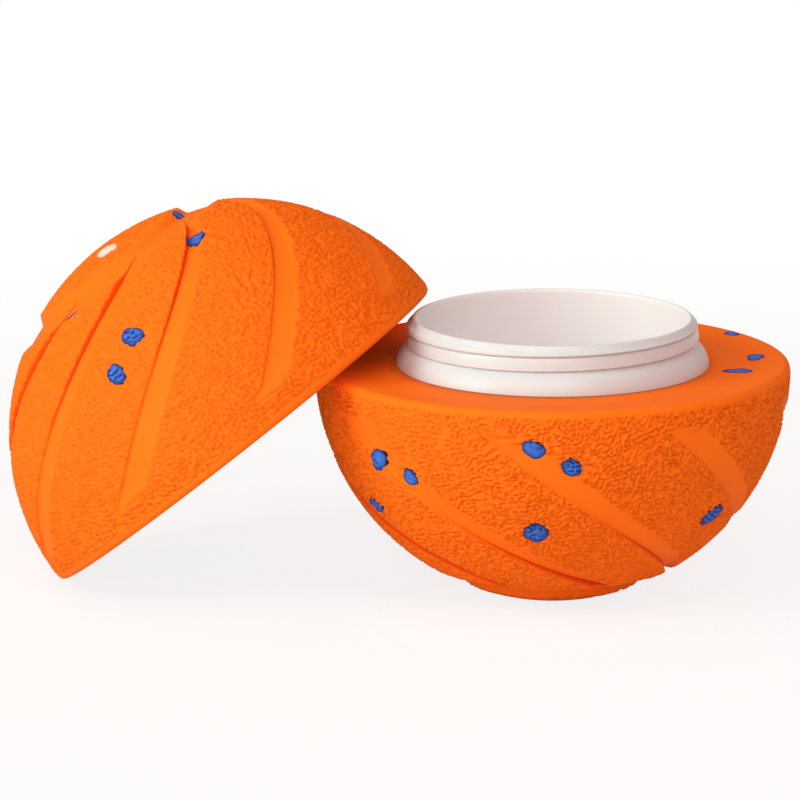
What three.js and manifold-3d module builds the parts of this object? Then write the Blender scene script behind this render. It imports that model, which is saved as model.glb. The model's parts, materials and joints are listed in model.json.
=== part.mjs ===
// A rubber dog ball that unscrews into two halves. The lower half holds a plastic jar with
// a threaded neck and stands upright. The upper half is the lid, taken off and leaning on it.
// Millimetres, +Z up, origin at the middle of the lower half's flat foot.
import * as THREE from 'three';
import { mergeVertices } from 'three/addons/utils/BufferGeometryUtils.js';
import Module from 'manifold-3d';

const wasm = await Module();
wasm.setup();

const { clamp, degToRad, lerp, radToDeg, smoothstep } = THREE.MathUtils;

// Rubber ball
const ballDiameter = 76;
const footRadius = 5; // flat on the lower pole that it stands on
const seamRound = 1; // rounding of the edge of each half
const rimRise = 0.5; // the seam face climbs this far to its rim
const rimWidth = 5;
const rubberWall = 9; // rubber left over the jar and the lid liner at the poles
const fit = 0.3; // clearance between pieces that touch

// Spiral grooves, and the ring round each pole. Angles are in degrees
const grooveCount = 8;
const grooveTwist = 1.2; // turn round the axis for each unit climbed toward the pole
const grooveWidth = 10.8; // turn from the sharp edge to the soft edge
const grooveWall = 0.5; // turn taken by the sharp wall
const grooveShoulder = 3; // turn taken by the round shoulder at the soft edge
const grooveEnd = 8; // latitude of the rounded end near the seam
const grooveFade = 2; // latitude over which the end rounds off
const grooveEndDepth = 0.35;
const grooveDepth = 1.15; // at the ring
const ringCap = 21.6; // polar angle of the edge of the round cap
const ringWall = 2.5; // the cap's wall, down to the ring's floor
const ringRamp = 8; // from there back to the surface
const ringShoulder = 3.4; // the last of that, a round shoulder
const floorFall = 0.55; // share of the depth that a floor's slope would leave at the soft edge
const lowerGroovePhase = 31;
const upperGroovePhase = 17;

// Jar: a bore, a skirt that sits on the seam face, a thread and a rounded lip
const neckBore = 21.7;
const neckWall = 0.9; // at the bottom of the thread's valleys
const threadHeight = 0.9;
const threadPitch = 2.34;
const threadLength = 3.75;
const threadTurn = -81; // turn, in degrees, where a valley stands valleyRise above the skirt
const valleyRise = 0.13;
const skirtHeight = 3.2;
const skirtProud = 1.65; // how far the skirt's foot stands out past the thread
const lipHeight = 0.6;
const jarWall = 2.1;

// Lid liner and its seal
const mouthFlare = 4.05; // mouth's radius past the skirt's
const flangeWidth = 2.3;
const flangeThickness = 1.8;
const linerWall = 1.8;
const sealThickness = 1.8;
const sealWidth = 4;
const sealGrip = 0.9; // how far the seal reaches behind the thread
const sealLedge = 3.6; // width of the ledge that the seal lies on

// Keys that stop the jar and the liner from turning in the rubber
const keyCount = 4;
const keyWidth = 4;
const keyReach = 1.6;
const keyHeight = 4.5;
const keyDrop = 2; // from the seam face or the flange to the key

// The lid leans with its axis off upright, its edge just over the table
const lidTilt = degToRad(39);
const floorGap = 0.05;

// Flecks of a second rubber let into the surface
const fleckDepth = 2.4;
const fleckSides = 8;

// Facets round the turned pieces
const jarColumns = 40;
const bowlSteps = 5;
const threadSteps = 9;
const roundSteps = 3;

// Sizes that follow
const ballRadius = ballDiameter / 2;
const seamHeight = Math.sqrt(ballRadius ** 2 - footRadius ** 2);
const edgeHeight = seamRound - rimRise; // middle of the edge's rounding
const edgeCentre = Math.sqrt((ballRadius - seamRound) ** 2 - edgeHeight ** 2);
const rimInner = edgeCentre - rimWidth;
const closedGap = 2 * rimRise; // the halves' middles stand this far apart when screwed shut
const ringFloor = ringCap + ringWall;
const ringOut = ringFloor + ringRamp;
const neckRoot = neckBore + neckWall;
const threadTop = skirtHeight + threadLength;
const neckHeight = threadTop + lipHeight;
const skirtRadius = neckRoot + threadHeight + skirtProud;
const jarOuter = neckBore + jarWall;
const jarStraight = keyDrop + keyHeight;
const bowlDepth = ballRadius - rubberWall;
const mouthRadius = skirtRadius + mouthFlare;
const linerFlange = mouthRadius + flangeWidth;
const linerBore = neckRoot + threadHeight + 2 * fit; // root of the inner thread
const sealOuter = linerBore + sealGrip;
const skirtRoom = skirtHeight - closedGap;
const sealFloor = neckHeight - closedGap;
const sealRoof = sealFloor + sealThickness + fit;
const linerOuter = sealOuter + fit + linerWall;
const domeBore = sealOuter + fit - sealLedge - fit;
const shoulder = sealRoof + linerWall;

const rubberOrange = { color: 0xf4691c, roughness: 0.72, metalness: 0 };
const rubberBlue = { color: 0x1e56c8, roughness: 0.7, metalness: 0 };
const rubberWhite = { color: 0xe9e4dd, roughness: 0.7, metalness: 0 };
const plasticWhite = { color: 0xf0efee, roughness: 0.38, metalness: 0 };
const siliconeGrey = { color: 0xd9dcdc, roughness: 0.5, metalness: 0 };

// Flecks: latitude and turn in degrees, span along and across in mm.
// On the seam face, face is the share of the way from the jar to the ball's edge.
const lowerFlecks = [
  { latitude: 16, turn: -129, along: 3.8, across: 4.2 },
  { latitude: 19, turn: -119, along: 2.9, across: 4 },
  { latitude: 31, turn: -139, along: 3.7, across: 3.4 },
  { latitude: 8.5, turn: -85, along: 4, across: 3.3 },
  { latitude: 13, turn: -76, along: 3.8, across: 3 },
  { latitude: 32, turn: -85, along: 5, across: 4 },
  { latitude: 32, turn: -29, along: 5.6, across: 3.8 },
];
const faceFlecks = [
  { face: 0.86, turn: 45, along: 3.2, across: 2.2 },
  { face: 0.64, turn: 17, along: 4.6, across: 3.4 },
  { face: 0.44, turn: -1, along: 3.6, across: 5.2 },
];
const upperFlecks = [
  { latitude: 67, turn: -5, along: 3.6, across: 2.2 },
  { latitude: 53, turn: -37, along: 3.4, across: 4 },
  { latitude: 60, turn: -104, along: 3, across: 2.3 },
  { latitude: 39.5, turn: -81, along: 3.8, across: 4.2 },
  { latitude: 33.7, turn: -91, along: 3.6, across: 4 },
];
const poleFleck = { latitude: 77.5, turn: -67, along: 4.2, across: 5.2 };
const backTurn = 165; // the far side repeats the flecks, turned this far round
const faceBackTurn = 80;

// Three.js geometry as a closed solid
function toSolid(geometry) {
  geometry.deleteAttribute('normal');
  geometry.deleteAttribute('uv');
  const merged = mergeVertices(geometry, 1e-4);
  const index = merged.index.array;
  const triangles = [];
  for (let i = 0; i < index.length; i += 3) {
    const [a, b, c] = [index[i], index[i + 1], index[i + 2]];
    if (a !== b && b !== c && c !== a) triangles.push(a, b, c);
  }
  return new wasm.Manifold(new wasm.Mesh({
    numProp: 3,
    vertProperties: new Float32Array(merged.attributes.position.array),
    triVerts: new Uint32Array(triangles),
  }));
}

function toGeometry(solid) {
  const mesh = solid.getMesh();
  const geometry = new THREE.BufferGeometry();
  geometry.setAttribute('position', new THREE.BufferAttribute(mesh.vertProperties, 3));
  geometry.setIndex(new THREE.BufferAttribute(mesh.triVerts, 1));
  return geometry;
}

// Lathe about Z. A profile goes up its outside and down its inside, so that faces look out.
// shape gives each vertex its own turn, radius and height. side -1 mirrors it in z = 0.
function turned(profile, columns, shape, side = 1) {
  const points = profile.map(([r, z]) => new THREE.Vector2(r, z));
  const geometry = new THREE.LatheGeometry(points, columns);
  const position = geometry.attributes.position;
  for (let i = 0; i < position.count; i++) {
    const row = i % points.length;
    const column = Math.floor(i / points.length) % columns;
    const turn = (2 * Math.PI * column) / columns;
    const plain = { turn, radius: points[row].x, z: points[row].y };
    const at = shape ? shape(plain, row, column) : plain;
    position.setXYZ(i, at.radius * Math.cos(at.turn), at.radius * Math.sin(at.turn), side * at.z);
  }
  if (side < 0) geometry.setIndex([...geometry.index.array].reverse());
  return toSolid(geometry);
}

function steps(from, to, count) {
  return Array.from({ length: count }, (_, i) => lerp(from, to, i / (count - 1)));
}

// Part of an ellipse in the profile plane. A point at the axis is put exactly on it
function arc(cx, cz, spanX, spanZ, from, to, count) {
  return steps(from, to, count + 1).map((degrees) => {
    const r = cx + spanX * Math.cos(degToRad(degrees));
    return [Math.abs(r) < 1e-6 ? 0 : r, cz + spanZ * Math.sin(degToRad(degrees))];
  });
}

// Stretched latitude: a line climbing at a steady rate in it keeps one angle to the seam
function climb(latitude) {
  return Math.log(Math.tan(Math.PI / 4 + latitude / 2));
}

// Share of the full depth across a groove: a sharp wall, a sloping floor and a round shoulder
function sectionAt(at, wall, width, shoulder) {
  if (at <= 0 || at >= width) return 0;
  if (at < wall) return at / wall;
  return lerp(1, floorFall, (at - wall) / (width - wall)) * smoothstep(width - at, 0, shoulder);
}

function ringDepthAt(polar) {
  return grooveDepth * sectionAt(polar - ringCap, ringWall, ringWall + ringRamp, ringShoulder);
}

function grooveDepthAt(offset, latitude) {
  if (latitude > 90 - ringFloor) return 0;
  const along = clamp((latitude - grooveEnd) / (90 - ringOut - grooveEnd), 0, 1);
  const rounded = smoothstep(latitude, grooveEnd - grooveFade, grooveEnd + grooveFade);
  const depth = lerp(grooveEndDepth, grooveDepth, along ** 2) * rounded;
  return depth * sectionAt(offset, grooveWall, grooveWidth, grooveShoulder);
}

// Grooved half ball, middle of the seam face on z = 0, pole up for side 1 and down for side -1
function halfBall(phase, side) {
  const pitch = 360 / grooveCount;
  const sector = [0, grooveWall, grooveWidth - grooveShoulder, ...steps(grooveWidth, pitch, 5)];
  sector.pop();
  const roundTop = radToDeg(Math.asin(edgeHeight / (ballRadius - seamRound)));
  const capEdge = 90 - ringCap;
  const latitudes = [grooveEnd - grooveFade, grooveEnd, ...steps(grooveEnd + grooveFade, 90 - ringOut, 8),
    90 - ringOut + ringShoulder, 90 - ringFloor, capEdge, lerp(capEdge, 90, 0.5)];
  const profile = [
    [0, 0],
    [rimInner, 0],
    ...arc(edgeCentre, edgeHeight, seamRound, seamRound, -90, roundTop, roundSteps),
    ...latitudes.map((l) => [ballRadius * Math.cos(degToRad(l)), ballRadius * Math.sin(degToRad(l))]),
    [0, ballRadius],
  ];
  const mostClimb = climb(degToRad(capEdge));
  return turned(profile, grooveCount * sector.length, ({ radius, z }, row, column) => {
    const offset = sector[column % sector.length];
    const latitude = Math.atan2(z, radius);
    const lift = latitude < degToRad(capEdge) ? climb(latitude) : mostClimb;
    const degrees = radToDeg(latitude);
    const depth = Math.max(ringDepthAt(90 - degrees), grooveDepthAt(offset, degrees));
    const shrink = 1 - depth / ballRadius;
    const start = degToRad(phase + Math.floor(column / sector.length) * pitch + offset);
    return { turn: start + grooveTwist * lift, radius: radius * shrink, z: z * shrink };
  }, side);
}

// Rounded bands with sharp valleys between them, climbing one pitch a turn
function threadBand(z, turn) {
  const climbed = (threadPitch * (turn - degToRad(threadTurn))) / (2 * Math.PI);
  return Math.abs(Math.sin((Math.PI * (z - skirtHeight - valleyRise - climbed)) / threadPitch)) ** 0.7;
}

function keys(radius, wall, middle, spare) {
  let solid = null;
  const reach = keyReach + wall / 2 + spare;
  for (let i = 0; i < keyCount; i++) {
    const box = new THREE.BoxGeometry(reach, keyWidth + 2 * spare, keyHeight + 2 * spare);
    box.translate(radius - wall / 2 + reach / 2, 0, middle);
    box.rotateZ((2 * Math.PI * i) / keyCount);
    const key = toSolid(box);
    solid = solid ? solid.add(key) : key;
  }
  return solid;
}

// Jar, seam face on z = 0, neck up
const jarKeyMiddle = -keyDrop - keyHeight / 2;

function jar() {
  const bowlOut = arc(0, -jarStraight, jarOuter, bowlDepth - jarStraight, -90, 0, bowlSteps);
  const bowlIn = arc(0, -jarStraight, neckBore, bowlDepth - jarStraight - jarWall, 0, -90, bowlSteps);
  const bulge = (skirtHeight - fit) / 4;
  const skirt = [[jarOuter, fit], [skirtRadius, fit], [skirtRadius - skirtProud * 0.2, fit + bulge],
    [skirtRadius - skirtProud * 0.5, fit + 2.2 * bulge], [skirtRadius - skirtProud * 0.9, fit + 3.4 * bulge]];
  const neck = steps(skirtHeight, threadTop, threadSteps).map((z) => [neckRoot, z]);
  const lip = arc((neckRoot + neckBore) / 2, threadTop, neckWall / 2, lipHeight, 30, 180, 4);
  const firstThread = bowlOut.length + skirt.length;
  const body = turned([...bowlOut, ...skirt, ...neck, ...lip, ...bowlIn], jarColumns, (at, row) => {
    if (row < firstThread || row >= firstThread + neck.length) return at;
    const fade = 1 - 0.6 * smoothstep(at.z, threadTop - lipHeight, threadTop);
    return { ...at, radius: at.radius + threadHeight * fade * threadBand(at.z, at.turn) };
  });
  return body.add(keys(jarOuter, jarWall, jarKeyMiddle, 0));
}

// Lid liner, seam face on z = 0, mouth down, with the matching thread and a recess for the seal
const linerKeyMiddle = flangeThickness + keyDrop + keyHeight / 2;

function lidLiner() {
  const domeIn = arc(0, sealRoof, domeBore, bowlDepth - linerWall - sealRoof, 90, 0, bowlSteps);
  const domeOut = arc(0, shoulder, domeBore + linerWall, bowlDepth - shoulder, 0, 90, bowlSteps);
  const recess = [[sealOuter + fit, sealRoof], [sealOuter + fit, sealFloor - fit]];
  const thread = steps(sealFloor - fit, skirtRoom + fit, threadSteps).map((z) => [linerBore, z]);
  const mouth = [[skirtRadius + fit, skirtRoom], [skirtRadius + fit, skirtRoom / 2], [mouthRadius, 0]];
  const outside = [[linerFlange, 0], [linerFlange, flangeThickness], [linerOuter, flangeThickness],
    [linerOuter, shoulder]];
  const firstThread = domeIn.length + recess.length;
  const profile = [...domeIn, ...recess, ...thread, ...mouth, ...outside, ...domeOut];
  const body = turned(profile, jarColumns, (at, row) => {
    const step = (row - firstThread) / (thread.length - 1);
    if (step < 0 || step > 1) return at;
    const ends = Math.sin(Math.PI * step);
    return { ...at, radius: at.radius - (threadHeight - fit) * ends * (1 - threadBand(at.z + closedGap, at.turn)) };
  });
  return body.add(keys(linerOuter, linerWall, linerKeyMiddle, 0));
}

function seal() {
  const inner = sealOuter - sealWidth;
  const top = sealFloor + sealThickness;
  return turned([[inner, sealFloor], [sealOuter, sealFloor], [sealOuter, top], [inner, top],
    [inner, sealFloor]], jarColumns);
}

// Rooms in the rubber: the outlines of the jar and the liner with the clearance added
function jarRoom() {
  const bowl = arc(0, -jarStraight, jarOuter + fit, bowlDepth - jarStraight + fit, -90, 0, bowlSteps);
  return turned([...bowl, [jarOuter + fit, fit], [0, fit]], jarColumns)
    .add(keys(jarOuter, jarWall, jarKeyMiddle, fit));
}

function linerRoom() {
  const dome = arc(0, shoulder + fit, domeBore + linerWall + fit, bowlDepth - shoulder, 0, 90, bowlSteps);
  const flange = [[linerFlange + fit, -fit], [linerFlange + fit, flangeThickness + fit]];
  const wall = [[linerOuter + fit, flangeThickness + fit], [linerOuter + fit, shoulder + fit]];
  return turned([[0, -fit], ...flange, ...wall, ...dome], jarColumns)
    .add(keys(linerOuter, linerWall, linerKeyMiddle, fit));
}

// A fleck's outline, extruded along the surface's normal where the fleck lies
function fleckPrism(fleck, number, spare, side) {
  const outline = steps(0, 2 * Math.PI, fleckSides + 1).slice(0, -1).map((a) => {
    const bump = 1 + 0.16 * Math.sin(2 * a + number) + 0.1 * Math.cos(3 * a + 2 * number);
    return new THREE.Vector2(
      ((fleck.along / 2) * bump + spare) * Math.cos(a),
      ((fleck.across / 2) * bump + spare) * Math.sin(a),
    );
  });
  const depth = fleckDepth + spare;
  const prism = new THREE.ExtrudeGeometry(new THREE.Shape(outline), { depth: 2 * depth, bevelEnabled: false });
  prism.translate(0, 0, -depth);
  const turn = degToRad(fleck.turn);
  const onFace = fleck.face !== undefined;
  const place = onFace ? lerp(jarOuter, ballRadius, fleck.face) : ballRadius;
  const ray = new THREE.Vector3().setFromSphericalCoords(1, degToRad(90 - (fleck.latitude ?? 0)), turn);
  const outward = onFace ? new THREE.Vector3(0, 0, -side) : new THREE.Vector3(ray.z, ray.x, side * ray.y);
  const east = new THREE.Vector3(-Math.sin(turn), Math.cos(turn), 0);
  const north = new THREE.Vector3().crossVectors(outward, east);
  const position = onFace ? new THREE.Vector3(ray.z, ray.x, 0) : outward.clone();
  prism.applyMatrix4(new THREE.Matrix4().makeBasis(east, north, outward)
    .setPosition(position.multiplyScalar(place)));
  return toSolid(prism);
}

function withBack(flecks, round = backTurn) {
  return [...flecks, ...flecks.map((fleck) => ({ ...fleck, turn: fleck.turn + round }))];
}

// Cuts a half's pockets and gives the half with the flecks that fill them
function letInFlecks(half, flecks, side) {
  const pieces = flecks.map((fleck, i) => half.intersect(fleckPrism(fleck, i, 0, side)));
  const shell = flecks.reduce((rest, fleck, i) => rest.subtract(fleckPrism(fleck, i, fit, side)), half);
  return { shell, pieces };
}

// Height of a point over the lower half's seam face, or its distance from the edge or the ball
function lowerGap(out, z) {
  if (out < edgeCentre) return z - rimRise * clamp((out - rimInner) / rimWidth, 0, 1);
  if (z + edgeHeight > 0) return Math.hypot(out - edgeCentre, z + edgeHeight) - seamRound;
  return Math.hypot(out, z) - ballRadius;
}

// Least gap between the lid's face and the lower half, at a distance apart
const lidHeight = edgeCentre * Math.sin(lidTilt) - edgeHeight * Math.cos(lidTilt) + seamRound + floorGap;

function lidGap(reach) {
  const rows = [[mouthRadius, 0, 0], [rimInner, 0, 0], [edgeCentre, edgeHeight, seamRound]];
  const gaps = rows.flatMap(([radius, rise, round]) => steps(0, 2 * Math.PI, 181).map((a) => {
    const x = -reach + radius * Math.cos(a) * Math.cos(lidTilt) - rise * Math.sin(lidTilt);
    const z = lidHeight - seamHeight + radius * Math.cos(a) * Math.sin(lidTilt) + rise * Math.cos(lidTilt);
    return lowerGap(Math.hypot(x, radius * Math.sin(a)), z) - round;
  }));
  return Math.min(...gaps);
}

// The lid comes in until its mouth rests on the lower edge, less the clearance
let lidReach = 2 * ballRadius;
for (let step = ballRadius; step > 1e-4; step /= 2) {
  if (lidGap(lidReach - step) > fit) lidReach -= step;
}

const lowerHalf = new THREE.Group();
lowerHalf.position.set(0, 0, seamHeight);
const lid = new THREE.Group();
lid.position.set(-lidReach, 0, lidHeight);
lid.rotation.y = -lidTilt;

function addPiece(group, name, solid, look) {
  const mesh = new THREE.Mesh(toGeometry(solid), new THREE.MeshStandardMaterial({ ...look, flatShading: true }));
  mesh.name = name;
  group.add(mesh);
}

function addFlecks(group, name, pieces, look) {
  pieces.forEach((piece, i) => addPiece(group, `${name}_${String(i + 1).padStart(2, '0')}`, piece, look));
}

// Lower half, pole down and cut flat for the foot
const footCut = new THREE.BoxGeometry(ballDiameter, ballDiameter, ballRadius);
footCut.translate(0, 0, -seamHeight - ballRadius / 2);
const lower = letInFlecks(
  halfBall(lowerGroovePhase, -1).subtract(toSolid(footCut)),
  [...withBack(lowerFlecks), ...withBack(faceFlecks, faceBackTurn)],
  -1,
);
addPiece(lowerHalf, 'lower_shell', lower.shell.subtract(jarRoom()), rubberOrange);
addPiece(lowerHalf, 'jar', jar(), plasticWhite);
addFlecks(lowerHalf, 'blue_fleck_lower', lower.pieces, rubberBlue);

// Upper half, pole up
const upper = letInFlecks(halfBall(upperGroovePhase, 1), [...withBack(upperFlecks), poleFleck], 1);
const whitePiece = upper.pieces.pop();
addPiece(lid, 'upper_shell', upper.shell.subtract(linerRoom()), rubberOrange);
addPiece(lid, 'lid_liner', lidLiner(), plasticWhite);
addPiece(lid, 'lid_seal', seal(), siliconeGrey);
addFlecks(lid, 'blue_fleck_upper', upper.pieces, rubberBlue);
addPiece(lid, 'white_fleck_upper', whitePiece, rubberWhite);

const dogBall = new THREE.Group();
dogBall.add(lowerHalf, lid);

export default dogBall;
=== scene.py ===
import json
import math

import bpy
import numpy as np
from mathutils import Matrix, Vector
from mathutils.geometry import convex_hull_2d


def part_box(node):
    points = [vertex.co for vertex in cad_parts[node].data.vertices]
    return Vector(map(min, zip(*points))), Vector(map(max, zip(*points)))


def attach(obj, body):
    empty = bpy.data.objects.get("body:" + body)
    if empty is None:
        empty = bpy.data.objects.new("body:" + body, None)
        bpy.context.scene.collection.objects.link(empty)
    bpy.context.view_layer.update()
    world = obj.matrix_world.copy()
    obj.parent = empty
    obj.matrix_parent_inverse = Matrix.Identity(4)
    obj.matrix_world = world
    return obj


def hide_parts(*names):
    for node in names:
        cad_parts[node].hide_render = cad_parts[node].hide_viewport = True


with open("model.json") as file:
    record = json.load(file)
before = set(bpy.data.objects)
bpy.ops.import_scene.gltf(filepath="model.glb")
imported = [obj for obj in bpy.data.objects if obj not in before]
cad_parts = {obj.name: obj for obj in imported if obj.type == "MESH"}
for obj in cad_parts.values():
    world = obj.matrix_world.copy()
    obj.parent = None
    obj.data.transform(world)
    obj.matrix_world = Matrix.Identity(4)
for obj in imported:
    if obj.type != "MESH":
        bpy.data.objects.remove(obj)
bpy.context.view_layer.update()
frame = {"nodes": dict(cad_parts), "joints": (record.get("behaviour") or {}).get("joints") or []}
print("frame loaded,", len(frame["nodes"]), "nodes")

scene = bpy.context.scene
mm = 0.001
tiny = 1e-6
slack = 0.01  # mm or degrees, less than any step of a mesh
white = (1, 1, 1, 1)
# what the maths and range nodes do
times, timesPlus = {"operation": "MULTIPLY"}, {"operation": "MULTIPLY_ADD"}
plus, minus, over = {"operation": "ADD"}, {"operation": "SUBTRACT"}, {"operation": "DIVIDE"}
larger, smaller = {"operation": "MAXIMUM"}, {"operation": "MINIMUM"}
softStep = {"interpolation_type": "SMOOTHSTEP"}


def hexColour(code):  # sRGB hex to linear
    parts = [int(code[i:i + 2], 16) / 255 for i in (1, 3, 5)]
    return [c / 12.92 if c <= 0.04045 else ((c + 0.055) / 1.055) ** 2.4 for c in parts] + [1]


# adds a node, sets its properties, then links or fills its sockets
def addNode(tree, kind, settings=None, sockets=None):
    node = tree.nodes.new(kind)
    for name, value in (settings or {}).items():
        setattr(node, name, value)
    for key, value in (sockets or {}).items():
        if isinstance(value, bpy.types.Node):
            value = next(s for s in value.outputs if s.enabled)
        if isinstance(value, bpy.types.NodeSocket):
            tree.links.new(value, node.inputs[key])
        else:
            node.inputs[key].default_value = value
    return node


def newTree(name, labels):
    tree = bpy.data.node_groups.new(name, "GeometryNodeTree")
    tree.interface.new_socket("Geometry", in_out="OUTPUT", socket_type="NodeSocketGeometry")
    for label in ["Geometry", "Material"] + labels:
        kind = "Float" if label in labels else label
        tree.interface.new_socket(label, in_out="INPUT", socket_type="NodeSocket" + kind)
    return tree


# both trees end alike: the points move, and the mesh is shaded smooth, made real and given its material
def closeTree(tree, given, geometry, move):
    moved = addNode(tree, "GeometryNodeSetPosition", {}, {"Geometry": geometry, "Offset": move})
    smooth = addNode(tree, "GeometryNodeSetShadeSmooth", {}, {"Geometry": moved})
    real = addNode(tree, "GeometryNodeRealizeInstances", {}, {"Geometry": smooth})
    painted = addNode(tree, "GeometryNodeSetMaterial", {}, {"Geometry": real, "Material": given["Material"]})
    addNode(tree, "NodeGroupOutput", {}, {"Geometry": painted})
    return tree


def newMesh(name, points, faces, attributes):
    mesh = bpy.data.meshes.new(name)
    mesh.from_pydata([tuple(p) for p in points], [], faces)
    for label, values in attributes.items():
        layer = mesh.attributes.new(label, "FLOAT", "POINT")
        layer.data.foreach_set("value", np.asarray(values, np.float32))
    return mesh


def newMaterial(name):
    material = bpy.data.materials.new(name)
    material.use_nodes = True
    material.node_tree.nodes.clear()
    return material


# runs a tree on a mesh and keeps the result as a plain mesh, put in its place
def shaped(name, mesh, tree, values, place):
    piece = bpy.data.objects.new(name, mesh)
    shape = piece.modifiers.new("shape", "NODES")
    shape.node_group = tree
    for item in tree.interface.items_tree:
        if item.in_out == "INPUT" and item.name in values:
            shape[item.identifier] = values[item.name]
    scene.collection.objects.link(piece)
    graph = bpy.context.evaluated_depsgraph_get()
    plain = bpy.data.meshes.new_from_object(
        piece.evaluated_get(graph), preserve_all_data_layers=True, depsgraph=graph)
    piece.modifiers.remove(shape)
    piece.data = plain
    plain.name = name
    plain.transform(place)
    plain.update()
    return piece


def evenSteps(start, end, count):
    return [start + (end - start) * i / count for i in range(count + 1)]


def arcPoints(cx, cz, spanX, spanZ, start, end, count):
    angles = [math.radians(a) for a in evenSteps(start, end, count)]
    return [(max(0.0, cx + spanX * math.cos(a)), cz + spanZ * math.sin(a)) for a in angles]


# Ball: two rubber halves with spiral grooves, a ring round the pole and a worm texture.
# Lengths in mm, angles in degrees
ball = {
    "radius": 38.0,
    "seamRound": 1.0,
    "rimRise": 0.5,  # the seam face climbs this far to its rim
    "rimWidth": 5.0,
    "footRadius": 5.0,
    "footFade": 3.0,  # the texture dies away over this angle before the foot
    "grooves": 8,
    "twist": 1.2,
    "grooveWidth": 10.8,
    "grooveWall": 0.5,
    "grooveShoulder": 3.0,
    "grooveEnd": 8.0,
    "grooveFade": 2.0,
    "endDepth": 0.35,
    "depth": 1.15,
    "floorFall": 0.55,  # the floor rises to this share of the depth at its far side
    "crease": 1.5,  # painted shade, a deeper red, covers the wall's foot out to here
    "creaseLow": 0.3,  # shares of a groove's length where the painted shade in its crease begins and is full
    "creaseHigh": 0.7,
    "ringCap": 21.6,
    "ringWall": 2.5,
    "ringRamp": 8.0,
    "ringShoulder": 3.4,
    "lowerPhase": 31.0,
    "upperPhase": 17.0,
    "wormSpacing": 0.7,
    "wormWaves": 2.7,  # more of them give longer worms
    "crestLow": 0.36,  # levels of the pattern at a worm's foot and on its back
    "crestHigh": 0.56,
    "crestProud": 0.25,  # share of a worm that stands over the ball's own surface
    "ridgeHeight": 0.55,
    "flushLow": 0.004,  # worms stop between these shares of a groove's depth
    "flushHigh": 0.03,
    "marginLow": 0.6,
    "marginHigh": 1.5,
    # the mesh, with columns counted in an eighth turn
    "cell": 0.29,  # on the textured lands, under half a worm's spacing
    "roomColumns": 12,
    "smoothColumns": 40,
    "wallColumns": 3,
    "floorColumns": 2,
    "shoulderColumns": 4,
    "ringLandColumns": 14,
    "ringColumns": 24,
    "footColumns": 8,
    "edgeRows": 9,
    "ringRows": 12,
    "ringWallRows": 7,
    "groovesFrom": 5.0,  # rows have groove columns from this latitude up to the ring
    "faceSteps": (0.5, 0.94),
    "rimSteps": (0.06, 0.5, 0.94),
    "footSteps": (0.97, 0.5),
}
edgeHeight = ball["seamRound"] - ball["rimRise"]
edgeCentre = math.sqrt((ball["radius"] - ball["seamRound"]) ** 2 - edgeHeight ** 2)
rimInner = edgeCentre - ball["rimWidth"]

# Keys on the jar and the liner, and their slots in the rubber
keys = {
    "count": 4,
    "width": 4.0,
    "reach": 1.6,
    "drop": 2.0,
    "height": 4.5,
    "fit": 0.3,
    "side": 0.05,  # degrees in which a side turns out
    "end": 0.02,  # mm in which an end does
    "nearWall": 0.9,  # keys stand on walls over this share of their radius
}
keyTurn = 360 / keys["count"]
fit = keys["fit"]

# Each half is made in its own frame: middle of the seam face at the origin, ball's axis on Z
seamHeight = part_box("lower_shell")[1].z - ball["rimRise"] * mm
turnJoint = next(j for j in frame["joints"] if j["name"] == "lid_turn")
lidTip = Vector((0, 0, 1)).rotation_difference(Vector(turnJoint["axis"]))
lowerPlace = Matrix.Translation((0, 0, seamHeight))
lidPlace = Matrix.Translation(turnJoint["pos_m"]) @ lidTip.to_matrix().to_4x4()

skinAngles = ["Groove Width", "Groove Wall", "Groove Shoulder", "Groove End", "Groove Fade", "Crease",
              "Ring Cap", "Ring Wall", "Ring Ramp", "Ring Shoulder", "Margin Low", "Margin High"]
skinLengths = ["End Depth", "Depth", "Worm Spacing", "Ridge Height"]
skinNumbers = ["Grooves", "Twist", "Floor Fall", "Worm Waves"]


# a hollow's section, as a share of its depth: a steep wall, a long even floor and a round shoulder
def hollowSection(tree, given, across, start, floor, end, shoulder):
    wall = addNode(tree, "ShaderNodeMapRange", softStep,
                   {"Value": across, "From Min": start, "From Max": floor})
    bed = addNode(tree, "ShaderNodeMapRange", {},
                  {"Value": across, "From Min": floor, "From Max": end,
                   "To Min": 1.0, "To Max": given["Floor Fall"]})
    brow = addNode(tree, "ShaderNodeMath", minus, {0: end, 1: shoulder})
    roundOff = addNode(tree, "ShaderNodeMapRange", softStep,
                       {"Value": across, "From Min": brow, "From Max": end, "To Min": 1.0, "To Max": 0.0})
    ramp = addNode(tree, "ShaderNodeMath", times, {0: bed, 1: roundOff})
    return addNode(tree, "ShaderNodeMath", smaller, {0: wall, 1: ramp})


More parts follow.
